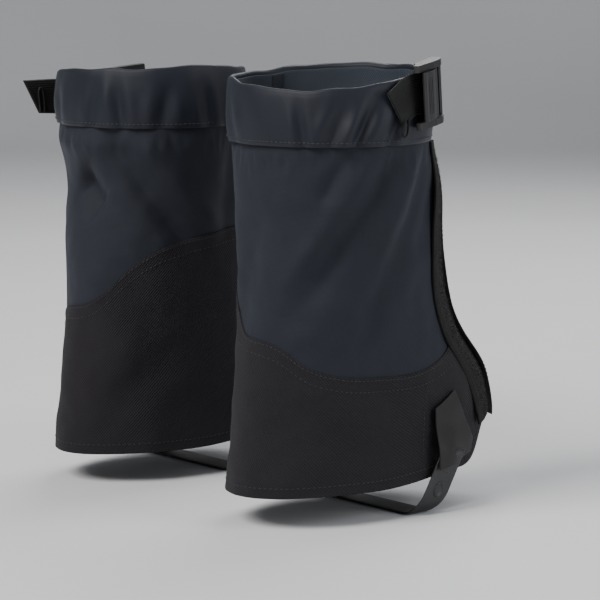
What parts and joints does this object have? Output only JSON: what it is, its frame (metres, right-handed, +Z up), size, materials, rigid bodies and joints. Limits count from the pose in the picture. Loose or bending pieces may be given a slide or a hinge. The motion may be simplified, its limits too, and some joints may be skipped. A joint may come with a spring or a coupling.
{
  "type": "gaiters",
  "caption": "Pair of hiking gaiters with a folded collar, webbing top strap in a cam buckle, hook-and-loop front flap, lace hooks and moulded instep straps.",
  "frame": {"origin": "midway between the two legs' axes, at the height of the instep straps' undersides, where the boots hold the pair", "axes": "+Y towards the toes, +X to the wearer's right, +Z up"},
  "size_m": [0.3232, 0.1967, 0.2798],
  "materials": {
    "navy_softshell": "woven softshell, matt",
    "black_twill": "coarse twill, matt",
    "coated_fabric": "smooth coated fabric",
    "lining_twill": "diagonal twill",
    "loop_tape": "brushed loop pile",
    "hook_tape": "moulded hooks",
    "webbing": "ribbed webbing",
    "buckle_plastic": "satin moulded",
    "strap_polymer": "satin moulded",
    "dark_metal": "black oxide"
  },
  "bodies": {
    "right_gaiter": {"right_upper_panel": "navy_softshell", "right_lower_panel": "black_twill", "right_hem_facing": "black_twill", "right_collar": "navy_softshell", "right_collar_lining": "lining_twill", "right_strap_casing": "navy_softshell", "right_loop_tape": "loop_tape", "right_flap_binding": "coated_fabric", "right_front_flap": "coated_fabric", "right_hook_strip": "hook_tape", "right_buckle_frame": "buckle_plastic", "right_buckle_pin": "dark_metal", "right_buckle_tab": "webbing", "right_anchor_patch_lateral": "coated_fabric", "right_anchor_patch_medial": "coated_fabric", "right_strap_rivet_lateral": "dark_metal", "right_strap_rivet_medial": "dark_metal", "right_lace_tab": "webbing", "right_lace_rivet": "dark_metal"},
    "right_flap": {"right_flap_corner": "coated_fabric", "right_corner_hook_strip": "hook_tape"},
    "right_lever": {"right_cam_lever": "buckle_plastic"},
    "right_webbing": {"right_top_strap": "webbing", "right_pull_loop": "webbing"},
    "right_instep": {"right_instep_strap": "strap_polymer"},
    "right_lace_hook": {"right_lace_hook": "dark_metal"},
    "left_gaiter": {"left_upper_panel": "navy_softshell", "left_lower_panel": "black_twill", "left_hem_facing": "black_twill", "left_collar": "navy_softshell", "left_collar_lining": "lining_twill", "left_strap_casing": "navy_softshell", "left_loop_tape": "loop_tape", "left_flap_binding": "coated_fabric", "left_front_flap": "coated_fabric", "left_hook_strip": "hook_tape", "left_buckle_frame": "buckle_plastic", "left_buckle_pin": "dark_metal", "left_buckle_tab": "webbing", "left_anchor_patch_lateral": "coated_fabric", "left_anchor_patch_medial": "coated_fabric", "left_strap_rivet_lateral": "dark_metal", "left_strap_rivet_medial": "dark_metal", "left_lace_tab": "webbing", "left_lace_rivet": "dark_metal"},
    "left_flap": {"left_flap_corner": "coated_fabric", "left_corner_hook_strip": "hook_tape"},
    "left_lever": {"left_cam_lever": "buckle_plastic"},
    "left_webbing": {"left_top_strap": "webbing", "left_pull_loop": "webbing"},
    "left_instep": {"left_instep_strap": "strap_polymer"},
    "left_lace_hook": {"left_lace_hook": "dark_metal"}
  },
  "joints": [
    {"name": "right_lever_pivot", "type": "hinge", "parent": "right_gaiter", "child": "right_lever", "pos_m": [0.15084, 0.0282, 0.25937], "axis": [0.0457, -0.113, 0.9925], "range_deg": [0, 75]},
    {"name": "right_flap_peel", "type": "hinge", "parent": "right_gaiter", "child": "right_flap", "pos_m": [0.06104, 0.11025, 0.05], "axis": [-0.0312, -0.4079, 0.9125], "range_deg": [0, 70]},
    {"name": "right_strap_cinch", "type": "hinge", "parent": "right_gaiter", "child": "right_webbing", "pos_m": [0.089, 0, 0.259], "axis": [0, 0, -1], "range_deg": [-5, 10]},
    {"name": "right_instep_swing", "type": "hinge", "parent": "right_gaiter", "child": "right_instep", "pos_m": [0.089, 0.054, 0.031], "axis": [1, 0, 0], "range_deg": [-20, 25]},
    {"name": "right_lace_hook_swivel", "type": "hinge", "parent": "right_gaiter", "child": "right_lace_hook", "pos_m": [0.089, 0.1124, 0.053], "axis": [0, 1, 0], "range_deg": [-35, 35]},
    {"name": "left_lever_pivot", "type": "hinge", "parent": "left_gaiter", "child": "left_lever", "pos_m": [-0.15084, 0.0282, 0.24237], "axis": [0.0457, 0.113, -0.9925], "range_deg": [0, 75]},
    {"name": "left_flap_peel", "type": "hinge", "parent": "left_gaiter", "child": "left_flap", "pos_m": [-0.06104, 0.11025, 0.05], "axis": [-0.0312, 0.4079, -0.9125], "range_deg": [0, 70]},
    {"name": "left_strap_cinch", "type": "hinge", "parent": "left_gaiter", "child": "left_webbing", "pos_m": [-0.089, 0, 0.242], "axis": [0, 0, 1], "range_deg": [-5, 10]},
    {"name": "left_instep_swing", "type": "hinge", "parent": "left_gaiter", "child": "left_instep", "pos_m": [-0.089, 0.054, 0.031], "axis": [1, 0, 0], "range_deg": [-20, 25]},
    {"name": "left_lace_hook_swivel", "type": "hinge", "parent": "left_gaiter", "child": "left_lace_hook", "pos_m": [-0.089, 0.1124, 0.053], "axis": [0, -1, 0], "range_deg": [-35, 35]},
    {"name": "pair_spacing", "type": "slide", "parent": "right_gaiter", "child": "left_gaiter", "axis": [-1, 0, 0], "range_m": [0, 0.1]}
  ]
}
